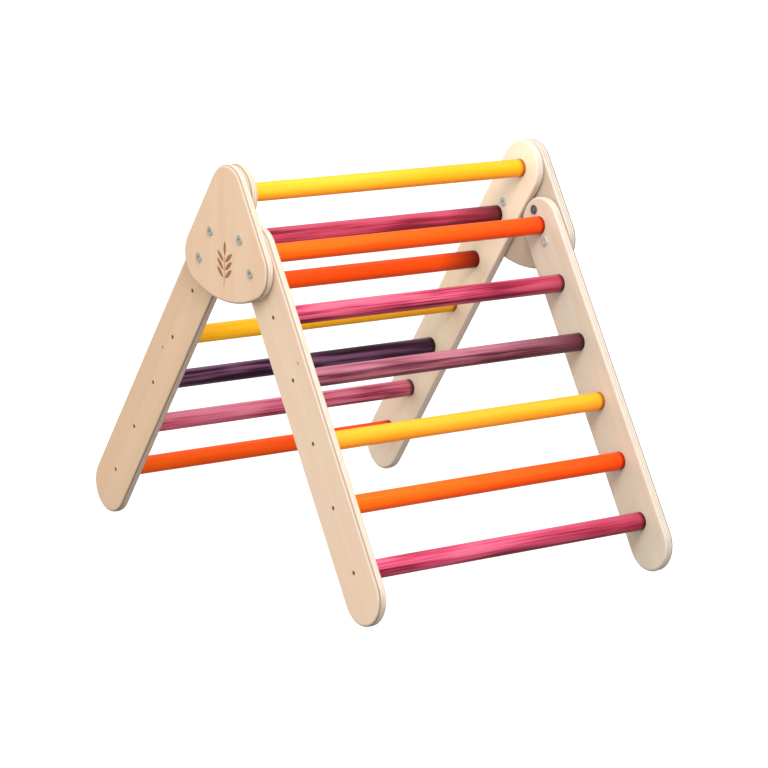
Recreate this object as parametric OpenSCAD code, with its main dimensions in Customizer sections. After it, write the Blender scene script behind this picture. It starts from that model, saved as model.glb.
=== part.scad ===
// Foldable wooden climbing triangle.
// Two ladders lie in the same planes and meet under two rounded side plates.
// The rear ladder is bolted to the plates; the front ladder turns on a pivot in each plate.
// X runs along the rungs, the front ladder is toward -Y, Z is up, and the floor is Z = 0.

/* [Ladders] */
// Distance between neighbouring rungs, along the legs
rung_pitch = 123; // [105:1:150]
// Rungs on each ladder below the top rung
rung_count = 6; // [4:1:7]
// Diameter of the rungs
rung_d = 35; // [28:1:42]
// Clear width between the two rear legs
clear_w = 650; // [450:5:900]
// Lean of each ladder from the vertical
leg_angle = 33.4; // [30:0.1:38]
// Width of the legs
leg_w = 110; // [85:1:135]
// Thickness of the leg boards
leg_t = 18; // [15:0.5:25]
// Distance from the lowest rung to the centre of the rounded foot
foot_reach = 44; // [30:1:80]

/* [Side plates] */
// Thickness of the side plates
plate_t = 18; // [15:0.5:25]
// How far the plate's lower corners lie below the first rungs, along the legs
plate_drop = 28; // [15:1:40]
// Radius of the plate's curved lower edge
belly_r = 252; // [220:1:600]
// Depth of the burnt leaf sprig on the left plate
motif_depth = 0.8; // [0.4:0.1:2]

/* [Edges and gaps] */
// Rounding of the long edges of the boards
edge_r = 5; // [2:0.5:6]
// Gap between the front leg's rounded end and the rear leg
leg_gap = 3; // [2:0.5:8]
// Gap left when the front leg's end swings past the rear leg
swing_gap = 0.3; // [0.2:0.1:1]
// Gap between the front legs and the side plates
side_gap = 0.8; // [0.8:0.1:2]
// Radial clearance of a rung in its socket
socket_fit = 0.1; // [0.05:0.05:0.3]
// Radial clearance of screws, bolts and nuts in their holes
bolt_fit = 0.1; // [0.05:0.05:0.3]
// Radial clearance of the parts that turn or slide
running_fit = 0.05; // [0.03:0.01:0.1]

/* [Rung joints] */
// Depth of the sockets that hold the ends of the rungs
socket_depth = 8; // [5:0.5:10]
// Diameter of the rung screws
screw_d = 4; // [3:0.5:6]
// Length of the rung screws
screw_len = 45; // [35:1:60]
// Diameter of the rung screws' heads
screw_head_d = 8.4; // [7.5:0.1:11]
// How far the screw heads lie under the surface of the leg
screw_sink = 0.7; // [0.2:0.1:1.5]

/* [Bolts] */
// Distance from the first rungs to the bolts above and below them
bolt_reach = 33.5; // [30:0.5:38]
// Diameter of the connector bolts
bolt_d = 6; // [5:0.5:8]
// Diameter of the flat bolt and nut heads
head_d = 18; // [13:0.5:20]
// Thickness of the flat bolt and nut heads
head_t = 2.4; // [1.8:0.1:3.5]
// Width across the corners of the hexagonal sockets
hex_d = 5.8; // [4:0.1:7]
// Outer diameter of the sleeve nuts
nut_d = 9; // [8:0.5:11]
// Outer diameter of the pivot sleeves
pivot_d = 10; // [9:0.5:14]
// Outer diameter of the pivot washers
washer_d = 24; // [18:1:30]
// Thickness of the pivot washers
washer_t = 0.5; // [0.3:0.1:0.5]

/* [Hidden] */
$fn = 96;

FRONT = -1;
REAR = 1;
LEFT = -1;
RIGHT = 1;

// Distances along a leg's middle line, measured down from the top rung.
// The first rungs lie low enough for the front leg's round end to clear the rear leg.
first_reach = max(rung_pitch, (leg_w + leg_gap) / sin(2 * leg_angle));
upper_bolt = first_reach - bolt_reach;
swing_limit = (first_reach - leg_w - swing_gap) / (1 - sin(2 * leg_angle));
lower_bolt = min(first_reach + bolt_reach, swing_limit);
plate_reach = first_reach + plate_drop;
foot_end = first_reach + (rung_count - 1) * rung_pitch + foot_reach;

// Heights and places in the side view.
top_z = foot_end * cos(leg_angle) + leg_w / 2;
leg_r = leg_w / 2;
corner_y = plate_reach * sin(leg_angle);
belly_angle = acos(corner_y / (belly_r - leg_r));
belly_lift = (belly_r - leg_r) * sin(belly_angle) - plate_reach * cos(leg_angle);

// Faces along X, on the right-hand side.
rear_leg_x = clear_w / 2;
front_leg_x = rear_leg_x - side_gap;
plate_x = rear_leg_x + leg_t;
face_x = plate_x + plate_t;

// How far cuts run past a surface.
cut = 1;

// Hardware lengths.
bolt_end_gap = 4;
bolt_len = plate_t + leg_t - bolt_end_gap;
nut_len = leg_t - 2;
nut_floor = 0.4;
pivot_sleeve_len = side_gap + leg_t + swing_gap;
head_ease = 0.6;
hex_depth = 1.7;
pilot_extra = 2;
screw_head_h = (screw_head_d - screw_d) / 2;
screw_point = 1.5;
screw_hex_d = 3.2;

// Fineness of the side plates' outline and rounded edges.
arc_step = 3;
edge_steps = 5;

// Strokes of the leaf sprig, around its middle, which lies a little below the plate's lower corners.
motif_drop = 4;
motif_z = top_z - plate_reach * cos(leg_angle) - motif_drop;
stem_w = 2;
stem_foot = -40;
stem_tip = 14;
leaf_l = 30;
leaf_w = 9;
leaf_gap = 1.2;
leaf_turn = 50;
leaf_pairs = 3;
leaf_pitch = 15;
first_leaf = -25;
tip_leaf_l = 28;

PLYWOOD = "#E8CFA9";
YELLOW = "#F0B323";
ORANGE = "#E2711D";
CRIMSON = "#8E1B3A";
PURPLE = "#55264F";
MAUVE = "#A0567E";
PINK = "#C2527F";
ZINC = "#B9BDC2";
DARK = "#2E2C2D";
NYLON = "#DAD9D4";

// A point in the side view, at a distance down the front or the rear leg.
function along(ladder, d) = [ladder * d * sin(leg_angle), top_z - d * cos(leg_angle)];
function rung_reach(i) = i == 0 ? 0 : first_reach + (i - 1) * rung_pitch;

// Draws in the side view: X of the drawing is Y of the frame, Y is Z, and Z is X.
module side_view() { rotate([90, 0, 90]) children(); }

// Everything is drawn for the right-hand side and mirrored for the left.
module on_side(side) { mirror([side == LEFT ? 1 : 0, 0, 0]) side_view() children(); }

module at_reach(ladder, d, x) { translate([along(ladder, d).x, along(ladder, d).y, x]) children(); }

// Half of a board's cross-section, with its outer edges rounded.
module half_section(half_w, t) {
    square([half_w - edge_r, t]);
    translate([0, edge_r]) square([half_w, t - 2 * edge_r]);
    translate([half_w - edge_r, edge_r]) circle(edge_r);
    translate([half_w - edge_r, t - edge_r]) circle(edge_r);
}

module full_section(half_w, t) {
    half_section(half_w, t);
    mirror([1, 0]) half_section(half_w, t);
}

// Slice of a round-edged disc, between two angles.
module disc_slice(r, t, from, to) {
    rotate([0, 0, from]) rotate_extrude(angle = to - from) half_section(r, t);
}

// Board with round ends, centred on its middle line, from one distance down the leg to another.
module leg_board(ladder, from, to, x) {
    at_reach(ladder, from, x) rotate([0, 0, ladder * leg_angle]) {
        disc_slice(leg_r, leg_t, 0, 180);
        rotate([90, 0, 0]) linear_extrude(to - from) full_section(leg_r, leg_t);
        translate([0, from - to, 0]) disc_slice(leg_r, leg_t, 180, 360);
    }
}

// Socket for a rung in a leg whose inner face is at x, with the hole for its screw.
module rung_socket(x) {
    translate([0, 0, x - cut]) cylinder(h = socket_depth + cut, d = rung_d + 2 * socket_fit);
    translate([0, 0, x]) cylinder(h = leg_t + cut, d = screw_d + 2 * bolt_fit);
    translate([0, 0, x + leg_t - screw_sink])
        cylinder(h = screw_sink + cut, d = screw_head_d + 2 * bolt_fit);
    translate([0, 0, x + leg_t - screw_sink - screw_head_h])
        cylinder(h = screw_head_h, d1 = screw_d + 2 * bolt_fit, d2 = screw_head_d + 2 * bolt_fit);
}

// Countersunk screw whose head lies under the outer face of a leg with its inner face at x.
module rung_screw(x) {
    translate([0, 0, x + leg_t - screw_sink]) difference() {
        rotate_extrude() polygon([
            [0, -screw_len], [screw_d / 2, screw_point - screw_len], [screw_d / 2, -screw_head_h],
            [screw_head_d / 2, 0], [0, 0],
        ]);
        translate([0, 0, -hex_depth]) cylinder(h = hex_depth + cut, d = screw_hex_d, $fn = 6);
    }
}

// Rung between two legs whose inner faces are at -x and x, drilled for its screws.
module rung(ladder, i, x, tint) {
    drill = screw_len + screw_sink - leg_t + pilot_extra;
    color(tint) side_view() at_reach(ladder, rung_reach(i), 0) difference() {
        translate([0, 0, -x - socket_depth]) cylinder(h = 2 * (x + socket_depth), d = rung_d);
        for (end = [LEFT, RIGHT])
            mirror([0, 0, end == LEFT ? 1 : 0]) translate([0, 0, x - drill])
                cylinder(h = drill + socket_depth + cut, d = screw_d + 2 * bolt_fit);
    }
}

module top_rung() { rung(REAR, 0, rear_leg_x, YELLOW); }
module rear_rung(i, tint) { rung(REAR, i, rear_leg_x, tint); }
module front_rung(i, tint) { rung(FRONT, i, front_leg_x, tint); }

module rear_leg(side) {
    color(PLYWOOD) on_side(side) difference() {
        leg_board(REAR, 0, foot_end, rear_leg_x);
        for (i = [0:rung_count]) at_reach(REAR, rung_reach(i), 0) rung_socket(rear_leg_x);
        for (d = [upper_bolt, lower_bolt])
            at_reach(REAR, d, rear_leg_x - cut) cylinder(h = leg_t + 2 * cut, d = nut_d + 2 * bolt_fit);
    }
}

module front_leg(side) {
    color(PLYWOOD) on_side(side) difference() {
        leg_board(FRONT, first_reach, foot_end, front_leg_x);
        for (i = [1:rung_count]) at_reach(FRONT, rung_reach(i), 0) rung_socket(front_leg_x);
        at_reach(FRONT, upper_bolt, front_leg_x - cut)
            cylinder(h = leg_t + 2 * cut, d = nut_d + 2 * bolt_fit);
        at_reach(FRONT, lower_bolt, front_leg_x - cut)
            cylinder(h = leg_t + 2 * cut, d = pivot_d + 2 * running_fit);
    }
}

// Points along an arc of the side view's outline.
function arc(centre, r, from, to) =
    let (steps = ceil(abs(to - from) / arc_step))
    [for (k = [0:steps]) let (a = from + (to - from) * k / steps) centre + r * [cos(a), sin(a)]];

// Outline of a side plate, drawn in from its edge: three round corners and a curved lower edge.
function plate_outline(inset) = let (r = leg_r - inset) concat(
    arc([0, top_z], r, leg_angle, 180 - leg_angle),
    arc(along(FRONT, plate_reach), r, 180 - leg_angle, 180 + belly_angle),
    arc([0, top_z + belly_lift], belly_r - inset, 180 + belly_angle + arc_step / 2,
        360 - belly_angle - arc_step / 2),
    arc(along(REAR, plate_reach), r, 360 - belly_angle, 360 + leg_angle)
);

// Side plate without its holes: a stack of outlines that rounds its edges.
module plate_blank() {
    hull() for (k = [0:edge_steps]) let (a = 90 * k / edge_steps, rise = edge_r * (1 - sin(a)))
        translate([0, 0, plate_x + rise]) linear_extrude(plate_t - 2 * rise)
            polygon(plate_outline(edge_r * (1 - cos(a))));
}

// Pointed leaf, standing on its lower tip.
module leaf(l, w) {
    r = (l * l + w * w) / (4 * w);
    translate([0, l / 2]) intersection() {
        translate([r - w / 2, 0]) circle(r);
        translate([w / 2 - r, 0]) circle(r);
    }
}

// Sprig of separate strokes: a stem, a leaf at the tip and pairs of leaves beside the stem.
module sprig() {
    for (y = [stem_foot, stem_tip]) translate([0, y]) circle(stem_w / 2);
    translate([-stem_w / 2, stem_foot]) square([stem_w, stem_tip - stem_foot]);
    translate([0, stem_tip + leaf_gap + stem_w / 2]) leaf(tip_leaf_l, leaf_w);
    for (k = [0:leaf_pairs - 1], hand = [LEFT, RIGHT])
        translate([hand * (stem_w / 2 + leaf_gap), first_leaf + k * leaf_pitch])
            rotate(-hand * leaf_turn) leaf(leaf_l, leaf_w);
}

module side_plate(side) {
    color(PLYWOOD) on_side(side) difference() {
        plate_blank();
        for (d = [upper_bolt, lower_bolt], ladder = [FRONT, REAR])
            at_reach(ladder, d, plate_x - cut) cylinder(h = plate_t + 2 * cut, d = bolt_d + 2 * running_fit);
        if (side == LEFT)
            translate([0, motif_z, face_x - motif_depth]) linear_extrude(motif_depth + cut) sprig();
    }
}

module rear_rung_screws(side) {
    color(ZINC) on_side(side)
        for (i = [0:rung_count]) at_reach(REAR, rung_reach(i), 0) rung_screw(rear_leg_x);
}

module front_rung_screws(side) {
    color(ZINC) on_side(side)
        for (i = [1:rung_count]) at_reach(FRONT, rung_reach(i), 0) rung_screw(front_leg_x);
}

// Bolt whose flat head rests on z = 0 and whose shank points down.
module connector_bolt(l) {
    difference() {
        rotate_extrude() polygon([
            [0, -l], [bolt_d / 2, -l], [bolt_d / 2, 0], [head_d / 2, 0],
            [head_d / 2, head_t - head_ease], [head_d / 2 - head_ease, head_t], [0, head_t],
        ]);
        translate([0, 0, head_t - hex_depth]) cylinder(h = hex_depth + cut, d = hex_d, $fn = 6);
    }
}

// Sleeve nut whose flat head rests under z = 0 and whose barrel points up.
module sleeve_nut(d, l) {
    mirror([0, 0, 1]) difference() {
        rotate_extrude() polygon([
            [bolt_d / 2 + running_fit, -l], [d / 2, -l], [d / 2, 0], [head_d / 2, 0],
            [head_d / 2, head_t - head_ease], [head_d / 2 - head_ease, head_t], [0, head_t],
            [0, nut_floor], [bolt_d / 2 + running_fit, nut_floor],
        ]);
        translate([0, 0, head_t - hex_depth]) cylinder(h = hex_depth + cut, d = hex_d, $fn = 6);
    }
}

module plate_bolts(side) {
    color(ZINC) on_side(side)
        for (d = [upper_bolt, lower_bolt]) at_reach(REAR, d, face_x) connector_bolt(bolt_len);
}

module plate_nuts(side) {
    color(ZINC) on_side(side)
        for (d = [upper_bolt, lower_bolt]) at_reach(REAR, d, rear_leg_x) sleeve_nut(nut_d, nut_len);
}

module pivot_bolt(side) {
    color(ZINC) on_side(side) at_reach(FRONT, lower_bolt, face_x) connector_bolt(bolt_len);
}

// The pivot sleeve is clamped to the plate, and the front leg turns on it.
module pivot_sleeve(side) {
    color(ZINC) on_side(side)
        at_reach(FRONT, lower_bolt, plate_x - pivot_sleeve_len) sleeve_nut(pivot_d, pivot_sleeve_len);
}

module pivot_washer(side) {
    color(NYLON) on_side(side) at_reach(FRONT, lower_bolt, plate_x - washer_t) difference() {
        cylinder(h = washer_t, d = washer_d);
        translate([0, 0, -cut]) cylinder(h = washer_t + 2 * cut, d = pivot_d + 2 * bolt_fit);
    }
}

// The lock bolt is drawn back to the plate's inner face, clear of the folding leg.
module lock_bolt(side) {
    color(ZINC) on_side(side) at_reach(FRONT, upper_bolt, face_x) connector_bolt(plate_t);
}

module lock_nut(side) {
    color(DARK) on_side(side) at_reach(FRONT, upper_bolt, front_leg_x) sleeve_nut(nut_d, nut_len);
}

side_plate(LEFT);  // side_plate_left
side_plate(RIGHT);  // side_plate_right
rear_leg(LEFT);  // rear_leg_left
rear_leg(RIGHT);  // rear_leg_right
front_leg(LEFT);  // front_leg_left
front_leg(RIGHT);  // front_leg_right
top_rung();
rear_rung(1, CRIMSON);  // rear_rung_1
rear_rung(2, ORANGE);  // rear_rung_2
rear_rung(3, YELLOW);  // rear_rung_3
rear_rung(4, PURPLE);  // rear_rung_4
rear_rung(5, MAUVE);  // rear_rung_5
rear_rung(6, ORANGE);  // rear_rung_6
front_rung(1, ORANGE);  // front_rung_1
front_rung(2, PINK);  // front_rung_2
front_rung(3, MAUVE);  // front_rung_3
front_rung(4, YELLOW);  // front_rung_4
front_rung(5, ORANGE);  // front_rung_5
front_rung(6, CRIMSON);  // front_rung_6
rear_rung_screws(LEFT);  // rear_rung_screws_left
rear_rung_screws(RIGHT);  // rear_rung_screws_right
front_rung_screws(LEFT);  // front_rung_screws_left
front_rung_screws(RIGHT);  // front_rung_screws_right
plate_bolts(LEFT);  // plate_bolts_left
plate_bolts(RIGHT);  // plate_bolts_right
plate_nuts(LEFT);  // plate_nuts_left
plate_nuts(RIGHT);  // plate_nuts_right
pivot_bolt(LEFT);  // pivot_bolt_left
pivot_bolt(RIGHT);  // pivot_bolt_right
pivot_sleeve(LEFT);  // pivot_sleeve_left
pivot_sleeve(RIGHT);  // pivot_sleeve_right
pivot_washer(LEFT);  // pivot_washer_left
pivot_washer(RIGHT);  // pivot_washer_right
lock_bolt(LEFT);  // lock_bolt_left
lock_bolt(RIGHT);  // lock_bolt_right
lock_nut(LEFT);  // lock_nut_left
lock_nut(RIGHT);  // lock_nut_right
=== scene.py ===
import math

import bpy
from mathutils import Matrix, Vector


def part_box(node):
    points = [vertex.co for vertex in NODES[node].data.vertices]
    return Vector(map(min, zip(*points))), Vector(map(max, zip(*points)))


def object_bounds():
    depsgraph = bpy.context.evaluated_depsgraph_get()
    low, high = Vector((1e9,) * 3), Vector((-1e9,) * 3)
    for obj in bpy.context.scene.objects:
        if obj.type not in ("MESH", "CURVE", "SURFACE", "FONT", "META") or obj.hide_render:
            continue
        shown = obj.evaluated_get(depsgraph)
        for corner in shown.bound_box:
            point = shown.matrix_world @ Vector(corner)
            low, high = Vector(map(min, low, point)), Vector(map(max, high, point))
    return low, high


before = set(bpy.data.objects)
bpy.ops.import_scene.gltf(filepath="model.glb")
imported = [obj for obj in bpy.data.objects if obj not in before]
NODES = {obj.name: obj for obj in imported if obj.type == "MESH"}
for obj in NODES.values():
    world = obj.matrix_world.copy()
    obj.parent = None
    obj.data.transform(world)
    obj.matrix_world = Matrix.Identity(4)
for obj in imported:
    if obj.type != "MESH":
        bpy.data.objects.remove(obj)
cad_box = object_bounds()


# Measures taken from the frame, in metres
APEX = (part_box("top_rung")[0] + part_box("top_rung")[1]) / 2
LEG_IN_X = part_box("rear_leg_right")[0].x
LOW_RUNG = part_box("rear_rung_6")
LEAN = math.atan2((LOW_RUNG[0].y + LOW_RUNG[1].y) / 2, APEX.z - (LOW_RUNG[0].z + LOW_RUNG[1].z) / 2)
BOARD_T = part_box("rear_leg_right")[1].x - LEG_IN_X
PLATE_IN_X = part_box("side_plate_right")[0].x
PLATE_OUT_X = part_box("side_plate_right")[1].x
PLATE_T = PLATE_OUT_X - PLATE_IN_X
FRONT_LEG_IN_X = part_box("front_leg_right")[0].x
BOLT_HEAD_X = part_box("plate_bolts_right")[1].x
NUT_HEAD_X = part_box("plate_nuts_right")[0].x
LOCK_HEAD_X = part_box("lock_nut_right")[0].x


# Colours

# The share of a display colour that a surface has, so that it shows as that colour in the scene's light
SURFACE_SHARE = 0.72


def srgb(r, g, b):
    """Linear colour of a display colour given in 0 to 255."""
    def linear(c):
        c /= 255
        return c / 12.92 if c <= 0.04045 else ((c + 0.055) / 1.055) ** 2.4
    return (linear(r), linear(g), linear(b), 1)


def tone(r, g, b):
    """Surface colour that shows as a display colour, 0 to 255, in the scene's light."""
    return darker(srgb(r, g, b), SURFACE_SHARE)


def darker(colour, share):
    return tuple(share * c for c in colour[:3]) + (1,)


def grey(level):
    return (level, level, level, 1)


# Light, dark and warm tones of each board's face; the right-hand boards are paler and cooler, partly paler
# birch and partly painted light standing in for the warmer bounce on the left-hand boards and the whiter
# light on the right-hand ones
LEFT_PLATE = (tone(253, 217, 182), tone(247, 209, 173), tone(252, 211, 178))
LEFT_REAR_LEG = (tone(248, 213, 176), tone(240, 202, 163), tone(247, 203, 168))
LEFT_FRONT_LEG = (tone(254, 225, 194), tone(249, 216, 184), tone(253, 216, 190))
RIGHT_PLATE = (tone(226, 210, 188), tone(216, 199, 175), tone(224, 202, 178))
RIGHT_FRONT_LEG = (tone(240, 225, 202), tone(230, 213, 188), tone(238, 217, 192))
# The rear right leg's tones are set lighter than the other boards', as painted light against the shade this
# leg stands in
RIGHT_REAR_LEG_PAINTED_LIGHT = (srgb(234, 219, 192), srgb(228, 209, 180), srgb(234, 213, 185))
PALE_PLY = tone(232, 215, 202)
KNOT = tone(112, 66, 40)
BURN_LIGHT = tone(204, 144, 94)
BURN_DARK = tone(164, 106, 62)

# Painted rungs: light and deep tones, painted shade at the legs, painted shade and darker stain of the
# right-hand end
YELLOW_EDGE = srgb(140, 72, 6)
YELLOW = (srgb(248, 171, 44), srgb(246, 159, 20), YELLOW_EDGE, srgb(246, 156, 8))
# A darker copy of the yellow: painted shade for the front yellow rung, which takes more light
YELLOW_PAINTED_SHADE = (srgb(248, 163, 44), srgb(246, 152, 24), YELLOW_EDGE, srgb(248, 152, 14))
# A lighter copy of the yellow: painted light for the rear yellow rung, which sits in shade
YELLOW_PAINTED_LIGHT = (srgb(252, 196, 40), srgb(250, 184, 16), YELLOW_EDGE, srgb(236, 150, 6))
ORANGE = (srgb(245, 100, 10), srgb(240, 84, 3), srgb(130, 16, 5), srgb(236, 62, 2))
# A darker copy of the orange, painted shade for the lower rear orange rung, with a very dark right-hand end
ORANGE_PAINTED_SHADE = (srgb(244, 82, 6), srgb(240, 70, 3), srgb(110, 12, 5), srgb(90, 8, 2))

# Stained rungs: light, middle and dark streaks, painted shade at the legs, painted shade and darker stain of
# the right-hand end
CRIMSON = (tone(230, 92, 124), tone(206, 68, 98), tone(150, 38, 62), tone(60, 10, 14), tone(96, 18, 26))
MAGENTA = (tone(238, 106, 140), tone(206, 64, 100), tone(128, 20, 50), tone(68, 10, 16), tone(160, 24, 56))
PINK = (tone(236, 108, 136), tone(200, 62, 96), tone(118, 16, 44), tone(72, 14, 24), tone(150, 20, 50))
MAUVE = (tone(190, 118, 134), tone(156, 82, 100), tone(92, 34, 52), tone(44, 12, 20), tone(78, 20, 38))
ROSE = (tone(250, 142, 168), tone(228, 104, 132), tone(152, 46, 74), tone(64, 16, 24), tone(190, 70, 92))
PURPLE = (tone(138, 90, 130), tone(62, 20, 50), tone(38, 10, 34), tone(22, 6, 14), tone(50, 16, 44))

BOLT_ZINC = tone(206, 210, 190)
NUT_ZINC = tone(244, 246, 240)
BLACK_NUT = tone(96, 108, 114)
BRONZE = tone(150, 122, 90)
# Socket colours: the dark and grey ones are painted shade in the hexagon recesses of the zinc heads, the
# light one is the black nut's lighter centre
DARK_SOCKET_PAINTED_SHADE = tone(112, 118, 100)
GREY_SOCKET_PAINTED_SHADE = tone(150, 152, 152)
LIGHT_SOCKET = tone(226, 228, 224)
NYLON = tone(222, 220, 212)


# Details drawn in the materials, in metres unless a comment says otherwise

# Darker plies on a board's edge: start, end and soft margin, as shares of its thickness from the inner face
INNER_PLIES = [(0.20, 0.27, 0.04), (0.46, 0.53, 0.04)]
OUTER_PLY = (0.76, 0.87, 0.08)

# Pin knots: distance from the top rung's middle down the line of the leg, and distance beside that line
REAR_KNOTS = [(0.410, 0.014)]
FRONT_KNOTS = [(0.348, -0.031)]
KNOT_LENGTH = 0.0045
KNOT_WIDTH = 0.0022

# Where the burnt sprig lies on its plate, the depths between which the wood is charred, and their fade
SPRIG_DROP = 0.130
SPRIG_HALF_H = 0.060
SPRIG_HALF_W = 0.045
CHAR_TOP = 0.0002
CHAR_FLOOR = 0.0020
CHAR_FADE = 0.0004

# The painted shade rings round the rungs' ends, where they meet the legs: how far from the legs' inner faces
# they start and are darkest
RING_START = 0.012
RING_FULL = 0.005
RING_SHARE = 0.88

# How far below a head's face its socket's colour starts and is full; in the zinc heads that colour is
# painted shade
SOCKET_START = 0.0010
SOCKET_FULL = 0.0014


# Shader helpers

class Shader:
    """A material's node tree with one Principled shader."""

    def __init__(self, name):
        self.mat = bpy.data.materials.new(name)
        self.mat.use_nodes = True
        self.tree = self.mat.node_tree
        self.bsdf = self.tree.nodes["Principled BSDF"]

    def add(self, kind, settings=None, **inputs):
        """A new node. An input is a value or another node's output; i0, i1 and so on number the inputs."""
        node = self.tree.nodes.new("ShaderNode" + kind)
        for key, value in (settings or {}).items():
            setattr(node, key, value)
        for key, value in inputs.items():
            self.put(node.inputs[int(key[1:]) if key[0] == "i" and key[1:].isdigit() else key], value)
        return node

    def put(self, socket, value):
        if isinstance(value, bpy.types.NodeSocket):
            self.tree.links.new(value, socket)
        else:
            socket.default_value = value

    def set(self, **inputs):
        """Sets the Principled shader's inputs, with _ for the spaces in their names."""
        for key, value in inputs.items():
            self.put(self.bsdf.inputs[key.replace("_", " ")], value)

    def math(self, operation, a, b=0.0):
        return self.add("Math", {"operation": operation}, i0=a, i1=b).outputs[0]

    def size(self, value):
        return self.math("ABSOLUTE", value)

    def gap(self, a, b):
        return self.size(self.math("SUBTRACT", a, b))

    def weigh(self, first, *others):
        """Sum of (value, weight) terms."""
        total = self.math("MULTIPLY", *first)
        for term in others:
            total = self.math("ADD", total, self.math("MULTIPLY", *term))
        return total

    def axis(self, vector, number):
        return self.add("SeparateXYZ", Vector=vector).outputs[number]

    def ramp(self, factor, *stops):
        """Colour ramp with (position, colour) stops."""
        node = self.add("ValToRGB", Fac=factor)
        elements = node.color_ramp.elements
        while len(elements) < len(stops):
            elements.new(0.5)
        for element, (position, colour) in zip(elements, stops):
            element.position = position
            element.color = colour
        return node.outputs["Color"]

    def span(self, value, low, high, to_low=0.0, to_high=1.0):
        """value brought from one range to another, and clamped."""
        node = self.add("MapRange", {"clamp": True}, i0=value, i1=low, i2=high, i3=to_low, i4=to_high)
        return node.outputs[0]

    def mix(self, factor, a, b):
        node = self.add("Mix", {"data_type": "RGBA"})
        self.put(node.inputs[0], factor)
        self.put(node.inputs[6], a)
        self.put(node.inputs[7], b)
        return node.outputs[2]

    def noise(self, vector, scale, detail=3.0, rough=0.55, distortion=0.0):
        """Noise with its own scale along each axis, in waves per metre."""
        stretched = self.add("Mapping", Vector=vector, Scale=scale).outputs[0]
        return self.add("TexNoise", Vector=stretched, Scale=1.0, Detail=detail, Roughness=rough,
                        Distortion=distortion).outputs["Fac"]

    def bump(self, height, strength, distance):
        """Gives the Principled shader a bumped normal."""
        node = self.add("Bump", Strength=strength, Distance=distance, Height=height)
        self.put(self.bsdf.inputs["Normal"], node.outputs[0])


def dress(names, mat):
    for name in names:
        data = NODES[name].data
        data.materials.clear()
        data.materials.append(mat)


# Wood

def veneer(s, turned, board):
    """Face of a birch board, turned so that its grain runs along Z. Gives its colour and fibre height."""
    figure = s.noise(turned, (4, 26, 1.5), 2, 0.5, 0.6)
    fibre = s.noise(turned, (40, 420, 9), 3, 0.6)
    pores = s.noise(turned, (60, 900, 45), 2, 0.6)
    blotch = s.noise(turned, (3, 9, 3.5), 1)
    light, dark, warm = board
    face = s.ramp(figure, (0.30, dark), (0.64, light))
    face = s.mix(s.span(blotch, 0.40, 0.68, 0.0, 0.35), face, warm)
    face = s.mix(s.span(fibre, 0.44, 0.70, 0.0, 0.18), face, darker(light, 0.74))
    face = s.mix(s.span(pores, 0.62, 0.76, 0.0, 0.18), face, darker(light, 0.45))
    return face, fibre


def plies(s, place, inner_x, thick, dark):
    """Edge of a board, with its darker plies and the roughness of cut grain."""
    line = darker(dark, 0.45)
    bands = [(ply, darker(dark, 0.80)) for ply in INNER_PLIES] + [(OUTER_PLY, line)]
    stops = [(0.0, PALE_PLY)]
    for (start, end, soft), shade in bands:
        stops += [(start - soft, PALE_PLY), (start, shade), (end, shade), (end + soft, PALE_PLY)]
    depth = s.math("DIVIDE", s.math("SUBTRACT", s.size(s.axis(place, 0)), inner_x), thick)
    layers = s.ramp(depth, *stops)
    end_grain = s.noise(place, (260, 60, 60), 2, 0.6)
    return s.mix(s.span(end_grain, 0.40, 0.70, 0.0, 0.22), layers, line)


def plywood(s, coord, lean, inner_x, thick, board):
    """Birch plywood with its grain leaning from the vertical. Gives the colour and the fibre height."""
    place = coord.outputs["Object"]
    turned = s.add("Mapping", Vector=place, Rotation=(lean, 0, 0)).outputs[0]
    face, fibre = veneer(s, turned, board)
    edge = s.span(s.size(s.axis(coord.outputs["Normal"], 0)), 0.72, 0.95, 1.0, 0.0)
    return s.mix(edge, face, plies(s, place, inner_x, thick, board[1])), fibre


def lacquer(s, colour, fibre):
    """Finishes a board's material: satin, with the fibre as its relief."""
    s.set(Base_Color=colour, Roughness=0.52, Specular_IOR_Level=0.30)
    s.bump(fibre, 0.12, 0.0006)
    return s.mat


def pin_knot(s, turned, colour, along, across):
    """Small dark knot, placed by how far it lies down the line of the leg and beside that line."""
    down = s.math("DIVIDE", s.math("ADD", s.axis(turned, 2), along), KNOT_LENGTH)
    side = s.math("DIVIDE", s.math("SUBTRACT", s.axis(turned, 1), across), KNOT_WIDTH)
    reach = s.math("SQRT", s.math("ADD", s.math("POWER", down, 2.0), s.math("POWER", side, 2.0)))
    return s.mix(s.span(reach, 0.3, 1.2, 0.8, 0.0), colour, KNOT)


def leg_wood(name, lean, inner_x, board, knots):
    """Plywood of one leg, with its grain along it."""
    s = Shader(name)
    coord = s.add("TexCoord")
    colour, fibre = plywood(s, coord, lean, inner_x, BOARD_T, board)
    from_apex = s.add("Mapping", Vector=coord.outputs["Object"], Location=-APEX).outputs[0]
    turned = s.add("Mapping", Vector=from_apex, Rotation=(lean, 0, 0)).outputs[0]
    for along, across in knots:
        colour = pin_knot(s, turned, colour, along, across)
    return lacquer(s, colour, fibre)


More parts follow.
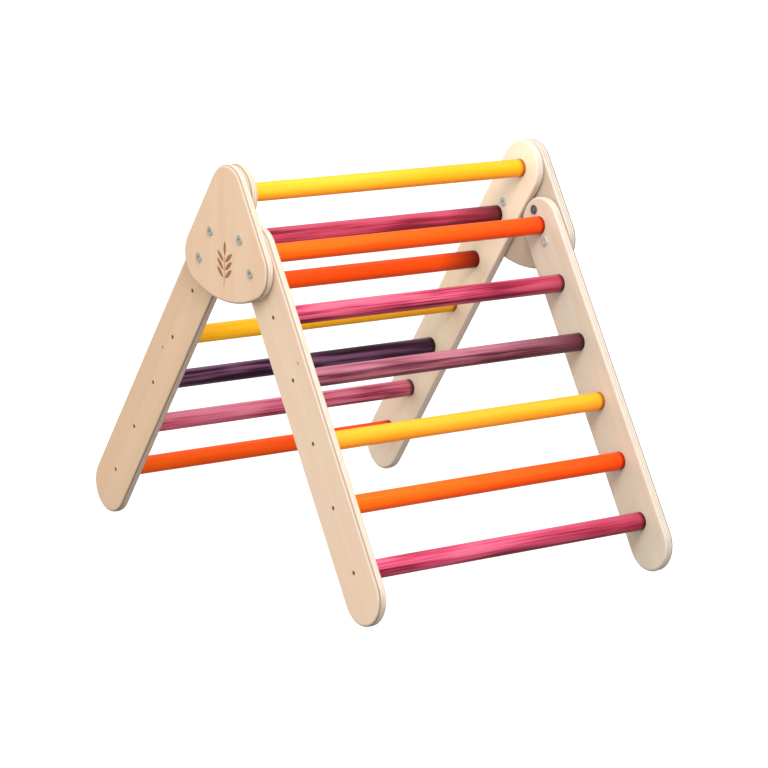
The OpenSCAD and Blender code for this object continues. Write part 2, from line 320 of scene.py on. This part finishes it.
def plate_wood(name, board):
    """Plywood of one side plate. Where a leaf sprig is cut into its outer face, the wood is burnt brown."""
    s = Shader(name)
    coord = s.add("TexCoord")
    place = coord.outputs["Object"]
    colour, fibre = plywood(s, coord, 0.0, PLATE_IN_X, PLATE_T, board)
    face_x = s.size(s.axis(place, 0))
    sunk = s.span(face_x, PLATE_OUT_X - CHAR_TOP - CHAR_FADE, PLATE_OUT_X - CHAR_TOP, 1.0, 0.0)
    shallow = s.span(face_x, PLATE_OUT_X - CHAR_FLOOR, PLATE_OUT_X - CHAR_FLOOR + CHAR_FADE)
    level = s.math("LESS_THAN", s.gap(s.axis(place, 2), APEX.z - SPRIG_DROP), SPRIG_HALF_H)
    central = s.math("LESS_THAN", s.size(s.axis(place, 1)), SPRIG_HALF_W)
    burnt = s.math("MULTIPLY", s.math("MULTIPLY", sunk, shallow), s.math("MULTIPLY", level, central))
    char = s.mix(s.noise(place, (400, 400, 400), 2), BURN_DARK, BURN_LIGHT)
    return lacquer(s, s.mix(burnt, colour, char), fibre)


# Rungs

def rung_tone(s, x, colour, edge_shade, far_shade, far_reach, far_share):
    """A rung's colour, with painted shade and darker stain deepening it towards its right-hand end, and a
    painted shade ring where it meets the legs.
    """
    right_end_shade_mask = s.span(x, LEG_IN_X - far_reach, LEG_IN_X, 0.0, far_share)
    painted_contact_shade = s.span(s.size(x), LEG_IN_X - RING_START, LEG_IN_X - RING_FULL, 0.0, RING_SHARE)
    return s.mix(painted_contact_shade, s.mix(right_end_shade_mask, colour, far_shade), edge_shade)


def painted_rung(name, light, deep, edge_shade, far_shade, far_reach, far_share):
    """Covering satin colour with the faintest grain under it."""
    s = Shader(name)
    place = s.add("TexCoord").outputs["Object"]
    grain = s.noise(place, (3, 260, 260), 3, 0.6, 0.3)
    broad = s.noise(place, (4, 60, 60), 2)
    colour = s.ramp(s.weigh((grain, 0.45), (broad, 0.55)), (0.36, deep), (0.62, light))
    s.set(Base_Color=rung_tone(s, s.axis(place, 0), colour, edge_shade, far_shade, far_reach, far_share),
          Roughness=0.34, Specular_IOR_Level=0.12)
    s.bump(grain, 0.10, 0.0005)
    return s.mat


def stained_rung(name, light, mid, dark, edge_shade, far_shade, far_reach, far_share):
    """Wood stain that lets the long dark streaks of the grain show, with painted light making it a little
    lighter on the upper side.
    """
    s = Shader(name)
    coord = s.add("TexCoord")
    place = coord.outputs["Object"]
    streak = s.noise(place, (2.6, 120, 120), 2, 0.5, 0.4)
    fine = s.noise(place, (7, 420, 420), 3, 0.6, 0.2)
    patch = s.noise(place, (7, 30, 30), 1)
    upward_painted_light = s.axis(coord.outputs["Normal"], 2)
    figure = s.weigh((streak, 0.45), (fine, 0.30), (patch, 0.25), (upward_painted_light, 0.05))
    colour = s.ramp(figure, (0.43, dark), (0.49, mid), (0.58, light))
    s.set(Base_Color=rung_tone(s, s.axis(place, 0), colour, edge_shade, far_shade, far_reach, far_share),
          Roughness=s.span(fine, 0.3, 0.7, 0.38, 0.28), Specular_IOR_Level=0.20)
    s.bump(fine, 0.18, 0.0006)
    return s.mat


# Hardware

def metal(name, tint, rough, head_x=None, socket_shade=None):
    """Plated steel with faint stains. The hexagon sunk below a head's face, at head_x, gets socket_shade:
    painted shade in the sockets of the zinc heads, a lighter centre on the black nut.
    """
    s = Shader(name)
    coord = s.add("TexCoord")
    place = coord.outputs["Object"]
    stain = s.noise(place, (300, 300, 300), 3)
    colour = s.mix(s.span(stain, 0.35, 0.7, 0.0, 0.5), tint, darker(tint, 0.6))
    if head_x is not None:
        away = s.gap(s.size(s.axis(place, 0)), head_x)
        flat = s.size(s.axis(coord.outputs["Normal"], 0))
        sunk = s.math("MULTIPLY", s.span(away, SOCKET_START, SOCKET_FULL), s.span(flat, 0.8, 0.9))
        colour = s.mix(sunk, colour, socket_shade)
    s.set(Base_Color=colour, Metallic=0.30, Roughness=s.span(stain, 0.3, 0.7, rough, rough + 0.15))
    s.bump(stain, 0.1, 0.0002)
    return s.mat


def nylon(name, tint):
    s = Shader(name)
    cloud = s.noise(s.add("TexCoord").outputs["Object"], (150, 150, 150), 2)
    s.set(Base_Color=s.mix(cloud, tint, darker(tint, 0.85)), Roughness=0.5)
    return s.mat


# The pieces' materials

dress(["rear_leg_left"], leg_wood("birch_rear_left", -LEAN, LEG_IN_X, LEFT_REAR_LEG, REAR_KNOTS))
# Its lighter tones are painted light against the shade this leg stands in
dress(["rear_leg_right"], leg_wood("birch_rear_right_painted_light", -LEAN, LEG_IN_X, RIGHT_REAR_LEG_PAINTED_LIGHT, []))
dress(["front_leg_left"], leg_wood("birch_front_left", LEAN, FRONT_LEG_IN_X, LEFT_FRONT_LEG, FRONT_KNOTS))
dress(["front_leg_right"], leg_wood("birch_front_right", LEAN, FRONT_LEG_IN_X, RIGHT_FRONT_LEG, []))
dress(["side_plate_left"], plate_wood("birch_plate_left", LEFT_PLATE))
dress(["side_plate_right"], plate_wood("birch_plate_right", RIGHT_PLATE))

# Each rung's colours, how far the painted shade and darker stain of its right-hand end reach in metres, and
# how deep that end gets
dress(["top_rung"], painted_rung("yellow_top", *YELLOW, 0.45, 0.6))
# The rear and front yellow rungs take the lighter and the darker copy of the yellow: painted light and
# painted shade
dress(["rear_rung_3"], painted_rung("yellow_rear_painted_light", *YELLOW_PAINTED_LIGHT, 0.55, 0.8))
dress(["front_rung_4"], painted_rung("yellow_front_painted_shade", *YELLOW_PAINTED_SHADE, 0.45, 0.3))
dress(["front_rung_1", "front_rung_5", "rear_rung_6"], painted_rung("orange_rungs", *ORANGE, 0.62, 0.9))
# Darker copy of the orange: painted shade
dress(["rear_rung_2"], painted_rung("orange_painted_shade", *ORANGE_PAINTED_SHADE, 0.10, 1.0))
dress(["rear_rung_1"], stained_rung("crimson_rung", *CRIMSON, 0.13, 0.95))
dress(["rear_rung_4"], stained_rung("purple_rung", *PURPLE, 0.30, 0.4))
dress(["rear_rung_5"], stained_rung("rose_rung", *ROSE, 0.10, 0.3))
dress(["front_rung_2"], stained_rung("pink_rung", *PINK, 0.35, 0.6))
dress(["front_rung_3"], stained_rung("mauve_rung", *MAUVE, 0.26, 0.95))
dress(["front_rung_6"], stained_rung("magenta_rung", *MAGENTA, 0.45, 0.7))

plate_zinc = metal("zinc_bolts", BOLT_ZINC, 0.42, BOLT_HEAD_X, DARK_SOCKET_PAINTED_SHADE)
inner_zinc = metal("zinc_nuts", NUT_ZINC, 0.40, NUT_HEAD_X, GREY_SOCKET_PAINTED_SHADE)
black_zinc = metal("black_nut", BLACK_NUT, 0.45, LOCK_HEAD_X, LIGHT_SOCKET)
bronze = metal("bronzed_screws", BRONZE, 0.50)
dress([n for n in NODES if "screws" in n], bronze)
dress([n for n in NODES if "bolt" in n], plate_zinc)
dress([n for n in NODES if "plate_nuts" in n or "sleeve" in n], inner_zinc)
dress([n for n in NODES if "lock_nut" in n], black_zinc)
dress([n for n in NODES if "washer" in n], nylon("nylon", NYLON))


# Floor, lights and camera

# The camera sees the floor's pale colour dimmed, with a glow over it; other rays meet a softly bouncing grey
FLOOR_SIZE = 60
FLOOR_DARKEST = 0.88
FLOOR_LIGHTEST = 0.92
FLOOR_DIMMING = 0.72
FLOOR_GLOW = 0.86
FLOOR_BOUNCE = 0.26

# Strength of the white world as the camera's backdrop, as light, and in glossy reflections
WORLD_SEEN = 1.0
WORLD_LIT = 1.55
WORLD_IN_GLOSS = 0.40

# The key lamp: the way to it from the top rung, about how far off it is, its aim, its size and its power
KEY_WAY = Vector((-0.34, -0.60, 0.73))
KEY_GAP = 2.5
KEY_AIM = APEX - Vector((0, 0, 0.3))
KEY_SIZE = 1.3
KEY_POWER = 62

# The photograph's viewing angle: place in metres, turn, height and roll in degrees, lens in millimetres
CAMERA_PLACE = Vector((-3.40961, -4.65425, 1.68914))
CAMERA_AZIMUTH = -36.312
CAMERA_ELEVATION = 13.432
CAMERA_ROLL = 1.749
CAMERA_LENS = 144.61
SENSOR_WIDTH = 36


def make_floor():
    """Wide pale floor: white with a faint shadow to the camera, a soft bounce to everything else."""
    bpy.ops.mesh.primitive_plane_add(size=FLOOR_SIZE, location=(0, 0, cad_box[0].z))
    floor = bpy.context.object
    floor.name = "floor"
    s = Shader("floor_white")
    speck = s.noise(s.add("TexCoord").outputs["Object"], (3, 3, 3), 2)
    pale = s.mix(speck, grey(FLOOR_DARKEST), grey(FLOOR_LIGHTEST))
    dimmed = s.mix(FLOOR_DIMMING, pale, grey(0))
    seen = s.add("LightPath").outputs["Is Camera Ray"]
    s.set(Base_Color=s.mix(seen, grey(FLOOR_BOUNCE), dimmed), Roughness=1.0, Specular_IOR_Level=0.0,
          Emission_Color=grey(1), Emission_Strength=s.math("MULTIPLY", seen, FLOOR_GLOW))
    floor.data.materials.append(s.mat)


def make_key():
    """Large soft lamp on the camera's side of the object, high above it."""
    data = bpy.data.lights.new("key", "AREA")
    data.shape = "DISK"
    data.size = KEY_SIZE
    data.energy = KEY_POWER
    lamp = bpy.data.objects.new("key", data)
    lamp.location = APEX + KEY_WAY * KEY_GAP
    lamp.rotation_euler = (KEY_AIM - lamp.location).to_track_quat("-Z", "Y").to_euler()
    bpy.context.scene.collection.objects.link(lamp)


def make_world():
    """White backdrop for the camera, a soft white light, and a dimmer white in the gloss."""
    world = bpy.data.worlds.new("studio")
    world.use_nodes = True
    bpy.context.scene.world = world
    tree = world.node_tree
    back = tree.nodes["Background"]
    path = tree.nodes.new("ShaderNodeLightPath")
    plain = tree.nodes.new("ShaderNodeMapRange")
    plain.inputs["To Min"].default_value = WORLD_LIT
    plain.inputs["To Max"].default_value = WORLD_IN_GLOSS
    strength = tree.nodes.new("ShaderNodeMapRange")
    strength.inputs["To Max"].default_value = WORLD_SEEN
    tree.links.new(path.outputs["Is Glossy Ray"], plain.inputs["Value"])
    tree.links.new(plain.outputs["Result"], strength.inputs["To Min"])
    tree.links.new(path.outputs["Is Camera Ray"], strength.inputs["Value"])
    tree.links.new(strength.outputs["Result"], back.inputs["Strength"])
    back.inputs["Color"].default_value = grey(1)


def make_camera():
    """Camera at the photograph's viewing angle; azimuth 0 would look along +Y."""
    az, el, tilt = (math.radians(v) for v in (CAMERA_AZIMUTH, CAMERA_ELEVATION, CAMERA_ROLL))
    back = Vector((math.sin(az) * math.cos(el), -math.cos(az) * math.cos(el), math.sin(el)))
    level = Vector((math.cos(az), math.sin(az), 0))
    rise = back.cross(level)
    right = level * math.cos(tilt) + rise * math.sin(tilt)
    up = rise * math.cos(tilt) - level * math.sin(tilt)
    data = bpy.data.cameras.new("camera")
    data.sensor_width = SENSOR_WIDTH
    data.lens = CAMERA_LENS
    camera = bpy.data.objects.new("camera", data)
    camera.matrix_world = Matrix.Translation(CAMERA_PLACE) @ Matrix((right, up, back)).transposed().to_4x4()
    bpy.context.scene.collection.objects.link(camera)
    bpy.context.scene.camera = camera


make_floor()
make_world()
make_key()
make_camera()
bpy.context.scene.view_settings.view_transform = "Standard"
